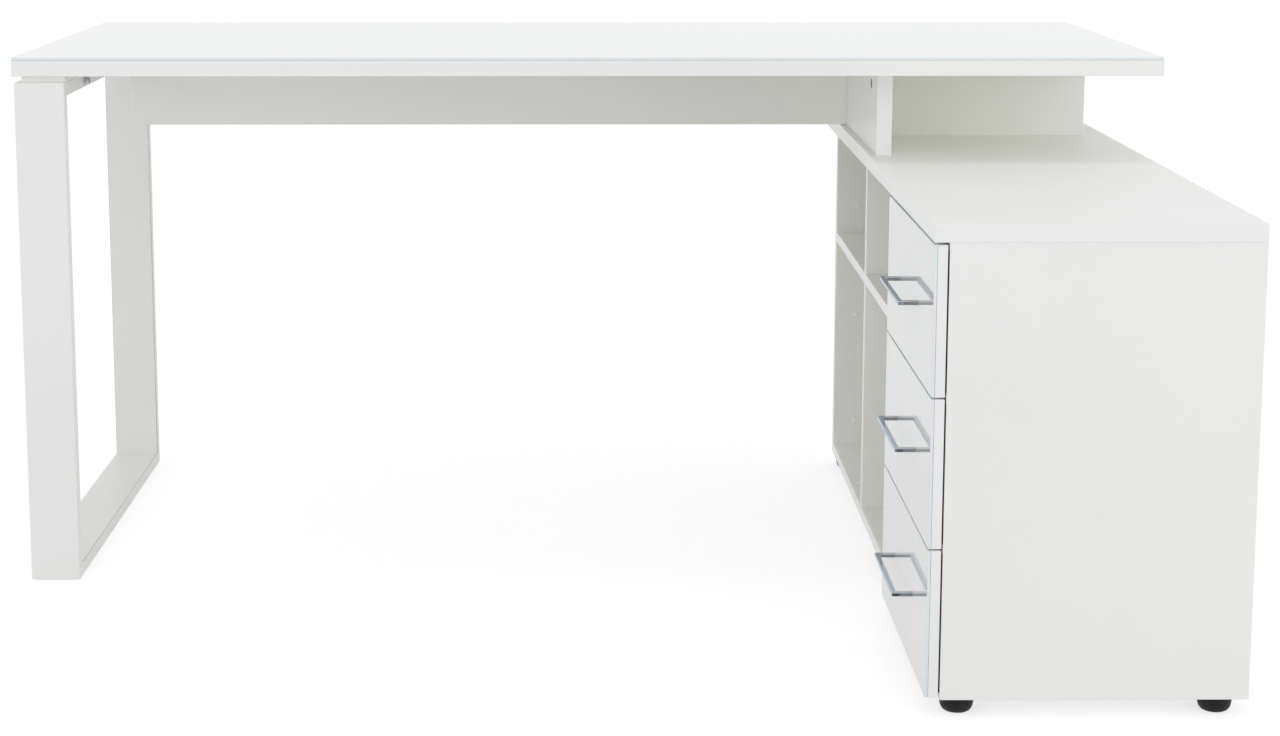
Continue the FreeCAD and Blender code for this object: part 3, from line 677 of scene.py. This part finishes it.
def turn(tree, radius, height, profile, around=24):
    """Turn a solid; the profile runs from its foot to its head as (radius, height) shares."""
    grid = put(tree, "GeometryNodeMeshGrid", {"Vertices X": around + 1,
                                              "Vertices Y": len(profile)})
    place = put(tree, "GeometryNodeInputPosition").outputs[0]
    parts = put(tree, "ShaderNodeSeparateXYZ", {0: place})
    angle = calc(tree, "MULTIPLY", calc(tree, "ADD", parts.outputs["X"], 0.5), math.tau)
    step = calc(tree, "ADD", parts.outputs["Y"], 0.5)
    reach = calc(tree, "MULTIPLY", radius, along_profile(tree, step, [r for r, _ in profile]))
    share = along_profile(tree, step, [h for _, h in profile])
    drop = calc(tree, "MULTIPLY", height, calc(tree, "SUBTRACT", share, 1.0))
    across, along = calc(tree, "COSINE", angle), calc(tree, "SINE", angle)
    rolled = put(tree, "ShaderNodeCombineXYZ", {
        "X": calc(tree, "MULTIPLY", reach, across),
        "Y": calc(tree, "MULTIPLY", reach, along), "Z": drop})
    spun = put(tree, "GeometryNodeSetPosition", {"Geometry": grid.outputs["Mesh"],
                                                 "Position": rolled.outputs[0]})
    closed = put(tree, "GeometryNodeMergeByDistance", {"Geometry": spun.outputs[0],
                                                       "Distance": HAIR})
    return closed.outputs[0]


def lower(tree, geometry, drop):
    """The geometry, moved down by a length."""
    down = put(tree, "ShaderNodeCombineXYZ", {"Z": calc(tree, "MULTIPLY", drop, -1.0)})
    return put(tree, "GeometryNodeTransform", {"Geometry": geometry,
                                               "Translation": down.outputs[0]}).outputs[0]


def cut(tree, body, *cutters):
    """The body with the cutters taken out of it."""
    node = put(tree, "GeometryNodeMeshBoolean", operation="DIFFERENCE", solver="EXACT")
    tree.links.new(body, node.inputs["Mesh 1"])
    for cutter in cutters:
        tree.links.new(cutter, node.inputs["Mesh 2"])
    return node.outputs["Mesh"]


def deal_out(tree, size_in, piece, made_length):
    """A copy of the piece at every place, facing as the place does and stretched to its length."""
    fold = put(tree, "GeometryNodeInputMeshEdgeAngle").outputs["Unsigned Angle"]
    crisp = calc(tree, "GREATER_THAN", fold, CRISP_FOLD)
    smooth = put(tree, "GeometryNodeSetShadeSmooth", {"Geometry": piece})
    edged = put(tree, "GeometryNodeSetShadeSmooth", {
        "Geometry": smooth.outputs[0], "Selection": crisp, "Shade Smooth": False}, domain="EDGE")
    facing = put(tree, "GeometryNodeInputNamedAttribute", {"Name": "facing"},
                 data_type="FLOAT_VECTOR")
    aimed = put(tree, "FunctionNodeAlignRotationToVector", {
        "Vector": facing.outputs["Attribute"]}, axis="Z")
    length = put(tree, "GeometryNodeInputNamedAttribute", {"Name": "length"}, data_type="FLOAT")
    stretch = put(tree, "ShaderNodeCombineXYZ", {"X": 1.0, "Y": 1.0, "Z": calc(
        tree, "DIVIDE", length.outputs["Attribute"], made_length)})
    copies = put(tree, "GeometryNodeInstanceOnPoints", {
        "Points": size_in["Geometry"], "Instance": edged.outputs[0],
        "Rotation": aimed.outputs[0], "Scale": stretch.outputs[0]})
    real = put(tree, "GeometryNodeRealizeInstances", {"Geometry": copies.outputs[0]})
    dressed = put(tree, "GeometryNodeSetMaterial", {
        "Geometry": real.outputs[0], "Material": size_in["Finish"]})
    end_tree(tree, dressed.outputs[0])


print("lathe ready")

# %% [markdown]
# ### Domed feet
#
# A black plastic glide: flat where it meets the floor, domed up to a short straight rim, with a
# well underneath for its screw.  The dome is a quarter of an ellipse, stepped every 15 degrees
# and made a little fuller by raising its sines to a power below one.

# %% Six domed feet
FOOT_RADIUS = 21 * MM
FOOT_HEIGHT = 22 * MM
FOOT_FLAT = 11.5 * MM / FOOT_RADIUS
FOOT_SHOULDER = 16 * MM / FOOT_HEIGHT
WELL = 4.5 * MM / FOOT_RADIUS
FULLNESS = 0.85
dome = [(FOOT_FLAT + (1 - FOOT_FLAT) * math.sin(math.radians(a)) ** FULLNESS,
         FOOT_SHOULDER * (1 - math.cos(math.radians(a)) ** FULLNESS)) for a in range(0, 90, 15)]
dome.append((1.0, FOOT_SHOULDER))
foot_profile = [(0.0, 0.5), (WELL, 0.5), (WELL, 0.03), (WELL * 1.12, 0.0), *dome,
                (1.0, 0.97), (0.975, 1.0), (0.0, 1.0)]
foot, size_in = start_tree("domed_foot", {"Radius": "Float", "Height": "Float",
                                          "Finish": "Material"})
dome_solid = turn(foot, size_in["Radius"], size_in["Height"], foot_profile, around=48)
deal_out(foot, size_in, dome_solid, size_in["Height"])
feet = grow("domed_feet", foot, places_host("cabinet_feet"),
            {"Radius": FOOT_RADIUS, "Height": FOOT_HEIGHT, "Finish": black_plastic})
place_piece(feet, "desk", "black_plastic", "cabinet_feet")

# %% [markdown]
# ### Push-in caps
#
# A cap hides a hole that this side of the cabinet does not use.  Its button is a low dome with a
# soft rim.  Its stem carries three barbs that bite into the board.

# %% Ten caps
button_profile = [(0.0, 0.0), (1.0, 0.0), (1.0, 0.4), (0.96, 0.7), (0.86, 0.92), (0.7, 1.0),
                  (0.0, 1.0)]
barbs = [(share, height + lift) for height in (0.12, 0.38, 0.64)
         for share, lift in ((0.8, 0.0), (1.0, 0.16), (0.8, 0.17))]
stem_profile = [(0.0, 0.0), (0.6, 0.0), *barbs, (0.8, 1.0), (0.0, 1.0)]
cap, size_in = start_tree("push_in_cap", {"Button Radius": "Float", "Button Height": "Float",
                                          "Stem Radius": "Float", "Stem Length": "Float",
                                          "Finish": "Material"})
button = turn(cap, size_in["Button Radius"], size_in["Button Height"], button_profile, around=32)
stem = turn(cap, size_in["Stem Radius"], size_in["Stem Length"], stem_profile, around=16)
deal_out(cap, size_in, join(cap, button, lower(cap, stem, size_in["Button Height"])),
         calc(cap, "ADD", size_in["Button Height"], size_in["Stem Length"]))
caps = grow("push_in_caps", cap, places_host("cover_caps"),
            {"Button Radius": 4 * MM, "Button Height": 1.2 * MM, "Stem Radius": 2.5 * MM,
             "Stem Length": 8 * MM, "Finish": white_plastic})
place_piece(caps, "desk", "white_plastic", "cover_caps")

# %% [markdown]
# ### Cam locks
#
# A cam lock is a zinc disc sunk flush into a board.  A quarter turn with a cross-point driver
# draws the bolt of the next board tight.  What shows is its face: a thin rim, a face just below
# it, and the cross.  A boolean takes the two bars of the cross out of the turned disc.  The discs
# come in two depths, for two board thicknesses; the tree stretches each copy to its own.

# %% Cam locks
disc_profile = [(0.0, 0.0), (0.97, 0.0), (1.0, 0.02), (1.0, 0.985), (0.97, 1.0), (0.86, 1.0),
                (0.84, 0.97), (0.0, 0.97)]
disc, size_in = start_tree("cam_lock", {"Radius": "Float", "Depth": "Float",
                                        "Cross Width": "Float", "Finish": "Material"})
blank = turn(disc, size_in["Radius"], size_in["Depth"], disc_profile, around=32)


def cross_bars(tree, width, share, depth):
    """The two bars of a cross recess, each `share` as wide as it is long."""
    thin = calc(tree, "MULTIPLY", width, share)
    sizes = [put(tree, "ShaderNodeCombineXYZ", {"X": x, "Y": y, "Z": depth})
             for x, y in ((width, thin), (thin, width))]
    return [put(tree, "GeometryNodeMeshCube", {"Size": size.outputs[0]}).outputs["Mesh"]
            for size in sizes]


bars = cross_bars(disc, size_in["Cross Width"], share=0.18,
                  depth=calc(disc, "MULTIPLY", size_in["Cross Width"], 0.66))
deal_out(disc, size_in, cut(disc, blank, *bars), size_in["Depth"])
cams = grow("cam_discs", disc, places_host("cam_locks"),
            {"Radius": 7.5 * MM, "Depth": 12.5 * MM, "Cross Width": 9 * MM,
             "Finish": zinc_casting})
place_piece(cams, "desk", "zinc_cast", "cam_locks")

# %% [markdown]
# ### Screws and washers
#
# Two kinds of screw hold the desk together.  Cap screws with a hexagonal socket clamp the loop
# frame; pan-head screws with a cross recess hold the feet, the runners and the handles.  They
# differ only in the profile of the head and in the hole for the key, so one function builds both
# trees.  The sizes stay open as named inputs and are typed in for each batch.

# %% Two screw trees
cap_head = [(0.0, 0.0), (1.0, 0.0), (1.0, 0.9), (0.94, 1.0), (0.0, 1.0)]
pan_head = [(0.0, 0.0), (1.0, 0.0), (1.0, 0.35), (0.93, 0.68), (0.75, 0.9), (0.45, 1.0),
            (0.0, 1.0)]
RIDGES = 12
THREAD_ROOT = 0.86
threads = [(share, start + ridge / (RIDGES + 1)) for ridge in range(RIDGES)
           for share, start in ((THREAD_ROOT, 0.04), (1.0, 0.078))]
shank_profile = [(0.0, 0.0), (0.5, 0.0), *threads, (0.9, 1.0), (0.0, 1.0)]


def screw_tree(name, head_profile, has_hexagon):
    """A screw whose head ends at the origin and whose thread runs down from it."""
    tree, size_in = start_tree(name, {
        "Head Radius": "Float", "Head Height": "Float", "Thread Radius": "Float",
        "Thread Length": "Float", "Key Width": "Float", "Finish": "Material"})
    head = turn(tree, size_in["Head Radius"], size_in["Head Height"], head_profile)
    if has_hexagon:
        corner = calc(tree, "DIVIDE", size_in["Key Width"], math.sqrt(3))
        keys = [put(tree, "GeometryNodeMeshCylinder", {
            "Vertices": 6, "Radius": corner, "Depth": size_in["Head Height"]}).outputs["Mesh"]]
    else:
        keys = cross_bars(tree, size_in["Key Width"], share=0.22, depth=size_in["Head Height"])
    shank = turn(tree, size_in["Thread Radius"], size_in["Thread Length"], shank_profile,
                 around=16)
    whole = join(tree, cut(tree, head, *keys), lower(tree, shank, size_in["Head Height"]))
    deal_out(tree, size_in, whole,
             calc(tree, "ADD", size_in["Head Height"], size_in["Thread Length"]))
    return tree


socket_screw = screw_tree("socket_cap_screw", cap_head, True)
pan_screw = screw_tree("pan_head_screw", pan_head, False)
washer, size_in = start_tree("washer", {"Radius": "Float", "Thickness": "Float",
                                        "Finish": "Material"})
BORE = 0.54
ring_profile = [(BORE, 0.0), (0.96, 0.0), (1.0, 0.15), (1.0, 0.85), (0.96, 1.0), (BORE, 1.0),
                (BORE, 0.0)]
ring = turn(washer, size_in["Radius"], size_in["Thickness"], ring_profile, around=32)
deal_out(washer, size_in, ring, size_in["Thickness"])
print("trees:", socket_screw.name, pan_screw.name, washer.name)

# %% Every screw and washer
#     new piece, CAD node, body, tree, head radius and height, thread radius and length, key
screws = [
    ("frame_bolts", "frame_cross_bolts", "desk", socket_screw, 5.0, 6.0, 3.0, 24.0, 5.0),
    ("frame_upright_screws", "frame_desk_screws", "desk", socket_screw, 5.0, 6.0, 3.0, 33.0, 5.0),
    ("foot_pan_screws", "foot_screws", "desk", pan_screw, 4.3, 3.0, 2.0, 23.0, 4.6),
    ("runner_pan_screws", "runner_screws", "desk", pan_screw, 3.5, 1.8, 2.0, 12.0, 4.0),
] + [
    (drawer + "_handle_pan_screws", drawer + "_handle_screws", drawer, pan_screw,
     3.2, 2.0, 1.5, 30.0, 3.6) for drawer in drawers
]
for name, node, body, tree, head_radius, head_height, radius, length, key in screws:
    batch = grow(name, tree, places_host(node), {
        "Head Radius": head_radius * MM, "Head Height": head_height * MM,
        "Thread Radius": radius * MM, "Thread Length": length * MM, "Key Width": key * MM,
        "Finish": zinc_plate})
    place_piece(batch, body, "zinc_steel", node)
washers = grow("frame_bolt_washers", washer, places_host("frame_cross_washers"),
               {"Radius": 6 * MM, "Thickness": 1.6 * MM, "Finish": zinc_plate})
place_piece(washers, "desk", "zinc_steel", "frame_cross_washers")

# %% [markdown]
# ### Access holes
#
# Four screws run from inside the frame's top bar up into the desktop.  A key reaches them through
# holes in the bar's underside, which come in two pairs.  The tree lays a drill on a short line of
# two points, lays that pair on a longer line of two, and takes all four drills out of the loop.

# %% Drill the top bar
drilled, size_in = start_tree("access_holes", {
    "First Hole": "Vector", "Gap": "Float", "Pitch": "Float", "Radius": "Float",
    "Depth": "Float", "Finish": "Material"})
gap = put(drilled, "ShaderNodeCombineXYZ", {"Y": size_in["Gap"]})
pitch = put(drilled, "ShaderNodeCombineXYZ", {"Y": size_in["Pitch"]})
drill = put(drilled, "GeometryNodeMeshCylinder", {
    "Vertices": 32, "Radius": size_in["Radius"],
    "Depth": calc(drilled, "MULTIPLY", size_in["Depth"], 2.0)})
pair = put(drilled, "GeometryNodeMeshLine", {"Count": 2, "Offset": gap.outputs[0]})
pairs = put(drilled, "GeometryNodeMeshLine", {
    "Count": 2, "Start Location": size_in["First Hole"], "Offset": pitch.outputs[0]})
two = put(drilled, "GeometryNodeInstanceOnPoints", {
    "Points": pair.outputs[0], "Instance": drill.outputs["Mesh"]})
four = put(drilled, "GeometryNodeInstanceOnPoints", {
    "Points": pairs.outputs[0], "Instance": two.outputs[0]})
drills = put(drilled, "GeometryNodeRealizeInstances", {"Geometry": four.outputs[0]})
bar = cut(drilled, size_in["Geometry"], drills.outputs[0])
coated = put(drilled, "GeometryNodeSetMaterial", {"Geometry": bar,
                                                  "Material": size_in["Finish"]})
end_tree(drilled, coated.outputs[0])

low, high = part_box("frame_desk_screws")
HEAD = 5 * MM
GAP = 44 * MM
HOLE_RADIUS = 6 * MM
HOLE_DEPTH = 9 * MM
loop_frame = grow("loop_frame", drilled, loop_blank.data, {
    "First Hole": ((low.x + high.x) / 2, low.y + HEAD, top_bar[0].z), "Gap": GAP,
    "Pitch": high.y - low.y - 2 * HEAD - GAP, "Radius": HOLE_RADIUS,
    "Depth": HOLE_DEPTH, "Finish": powder_coat})
bpy.data.objects.remove(loop_blank)
place_piece(loop_frame, "desk", "white_steel", "frame_front_post", "frame_rear_post",
            "frame_bottom_tube", "frame_top_tube")

# %% [markdown]
# ### Dark rings in the drawer gaps
#
# A closed drawer leaves a gap of two millimetres between its front and the carcase.  A black ring
# on the back of each front fills it.  It reaches almost to the sides of the front, where it shows
# as a dark line, and stays well inside the top and bottom.  It is a plate with a hole, from the
# same tree as the frame.

# %% A black ring behind each drawer front
# the black finish of the ring that shows as a dark line in the side gaps of each front
dark_ring, tree, shader = start_finish("black_gap_ring", (0.012, 0.012, 0.012), 0.95)
ring_grain = grain(tree, 0.4 * MM, 5.0)
vary_colour(tree, shader, ring_grain, (0.006, 0.006, 0.006), (0.022, 0.022, 0.021))
vary_gloss(tree, shader, ring_grain, 0.85, 1.0)
relief(tree, shader, ring_grain, 0.2 * MM, 0.8)
RING_SHARE = 0.85
# how far the ring's two outlines stay in from the front's sides, and from its top and bottom
RING_MARGINS = ((0.8 * MM, 6.0 * MM), (8.0 * MM, 13.0 * MM))
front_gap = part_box("drawer_end_panel")[0].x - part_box("lower_drawer_front_board")[1].x
ring_thickness = RING_SHARE * front_gap
for drawer in drawers:
    low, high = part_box(drawer + "_front_board")
    rims = [rectangle((low.y + side, low.z + end), (high.y - side, high.z - end))
            for side, end in RING_MARGINS]
    ring_piece = grow(drawer + "_dark_gap_ring", plate, outline_host("dark_ring_outline", *rims),
                {"Thickness": ring_thickness, "Corner Radius": 0.0, "Upright Share": 0.0,
                 "Turn": STANDING, "Place": (high.x, 0.0, 0.0), "Face Finish": dark_ring,
                 "Edge Finish": dark_ring})
    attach(ring_piece, drawer)
print("felt is", round(ring_thickness / MM, 2), "mm thick")

# %% [markdown]
# ## The studio
#
# A pale sweep of floor under soft light.  The camera should see plain white around the desk, but
# the floor must not flood the desk with light.  Light Path tells the floor who is asking: the
# camera, mirror-like reflections and clear materials see a floor lifted to white, everything else
# sees ordinary pale paint.

# %% Floor
FLOOR_REACH = 60.0
FLOOR_LIFT = 0.71


def seen_directly(tree):
    """1 where the camera, a mirror or a clear material looks, 0 where light falls on things."""
    path = put(tree, "ShaderNodeLightPath").outputs
    seen = calc(tree, "MAXIMUM", path["Is Camera Ray"], path["Is Glossy Ray"])
    return calc(tree, "MAXIMUM", seen, path["Is Transmission Ray"])


def stage_sheet(name, material, corners):
    """A flat sheet that belongs to the studio and not to the desk."""
    mesh = bpy.data.meshes.new(name)
    mesh.from_pydata(corners, [], [(0, 1, 2, 3)])
    mesh.materials.append(material)
    sheet = bpy.data.objects.new(name, mesh)
    bpy.context.scene.collection.objects.link(sheet)
    return sheet


floor_paint, tree, shader = start_finish("studio_floor", (0.85, 0.85, 0.85), 0.9,
                                         Specular_IOR_Level=0.0)
shadow_catcher = put(tree, "ShaderNodeBsdfDiffuse", {"Color": (0.4, 0.4, 0.4, 1.0)})
lift = put(tree, "ShaderNodeEmission", {"Strength": FLOOR_LIFT})
lifted_floor = put(tree, "ShaderNodeAddShader", {0: shadow_catcher.outputs[0],
                                                 1: lift.outputs[0]})
chosen = put(tree, "ShaderNodeMixShader", {
    0: seen_directly(tree), 1: shader.outputs[0], 2: lifted_floor.outputs[0]})
tree.links.new(chosen.outputs[0], tree.nodes["Material Output"].inputs["Surface"])
far = FLOOR_REACH
stage_sheet("floor", floor_paint, [(-far, -far, 0), (far, -far, 0), (far, far, 0), (-far, far, 0)])
print("floor reaches", FLOOR_REACH, "m each way")

# %% [markdown]
# ### A black card for the chrome
#
# Chrome has no colour of its own, so in an all-white studio it vanishes.  The usual trick is a
# black card in front of such metal, to draw dark lines in it.  The card here lies on the floor in
# front of the handles, its right side cut at a slant, so that a third of each handle's leg turns
# dark.  It is seen only in mirror-like reflections: the camera and the diffuse light pass it.

# %% Black card
CARD_LEFT, CARD_FRONT, CARD_BACK, CARD_LEVEL = -0.1, -4.5, -0.66, 0.004
CARD_RIGHT_FRONT, CARD_RIGHT_BACK = 0.93, 0.42
card_paint, tree, shader = start_finish("black_card", (0.03, 0.033, 0.04), 0.9)
card = stage_sheet("black_card", card_paint, [
    (CARD_LEFT, CARD_FRONT, CARD_LEVEL), (CARD_RIGHT_FRONT, CARD_FRONT, CARD_LEVEL),
    (CARD_RIGHT_BACK, CARD_BACK, CARD_LEVEL), (CARD_LEFT, CARD_BACK, CARD_LEVEL)])
card.visible_camera = False
card.visible_diffuse = False
card.visible_shadow = False
print("card lies from y", CARD_FRONT, "to", CARD_BACK)

# %% [markdown]
# ### World and lamps
#
# The world gives most of the light, evenly from all sides, and is plain white where it is seen.
# Three broad lamps shape the desk: the right one is the strongest, the left one only fills.  A
# small lamp overhead draws the edge of the desktop's shadow on what stands below it.  The lamps
# stay out of mirror-like reflections, or they would burn white patches into the glass.

# %% World
WORLD_GLOW = 0.745
world = bpy.data.worlds.new("studio")
bpy.context.scene.world = world
world.use_nodes = True
tree = world.node_tree
sky = tree.nodes["Background"]
seen = seen_directly(tree)
glow = put(tree, "ShaderNodeMapRange", {"Value": seen, "To Min": WORLD_GLOW, "To Max": 1.0})
tree.links.new(glow.outputs[0], sky.inputs["Strength"])
tree.links.new(tint(tree, seen, (0.985, 0.99, 1.03), (1.0, 1.0, 1.0)), sky.inputs["Color"])
print("world glows at", WORLD_GLOW)

# %% Square soft lamps
#     lamp, its place, the point it looks at, its side in metres, its power in watts
lamps = [
    ("front_softbox", (-0.6, -4.5, 2.2), (0.0, 0.0, 0.4), 3.0, 23),
    ("right_softbox", (4.0, -2.0, 1.6), (0.0, 0.0, 0.4), 3.0, 28),
    ("left_softbox", (-4.0, -1.6, 1.0), (0.0, 0.0, 0.3), 3.0, 14),
    ("overhead_lamp", (0.35, -0.04, 3.2), (0.35, 0.0, 0.0), 0.5, 6),
]
for name, place, target, side, power in lamps:
    lamp_data = bpy.data.lights.new(name, "AREA")
    lamp_data.size = side
    lamp_data.energy = power
    lamp = bpy.data.objects.new(name, lamp_data)
    lamp.location = place
    lamp.rotation_euler = (Vector(target) - Vector(place)).to_track_quat("-Z", "Y").to_euler()
    lamp.visible_glossy = False
    bpy.context.scene.collection.objects.link(lamp)
print("lamps:", [lamp[0] for lamp in lamps])

# %% [markdown]
# ### Camera
#
# A long lens, a little above the desktop and nearly square on, keeps upright edges nearly upright.
# A small lens shift centres the desk without turning the camera.  The open bays are lit only by
# light that has bounced from wall to wall, so light gets more bounces than usual.  The Standard
# view shows each colour as it was written.

# %% Camera and light bounces
LOOKS_DOWN, LOOKS_RIGHT = math.radians(9.287), math.radians(0.334)
camera_data = bpy.data.cameras.new("camera")
camera_data.sensor_width = 36.0
camera_data.lens = 70.0
camera_data.shift_x = 0.041
camera_data.shift_y = -0.09
camera = bpy.data.objects.new("camera", camera_data)
camera.location = (-0.0213, -3.5114, 1.0396)
camera.rotation_euler = (math.radians(90) - LOOKS_DOWN, 0.0, -LOOKS_RIGHT)
scene = bpy.context.scene
scene.collection.objects.link(camera)
scene.camera = camera
scene.view_settings.view_transform = "Standard"
scene.cycles.max_bounces = 16
scene.cycles.diffuse_bounces = 10
print("camera at", tuple(camera.location))
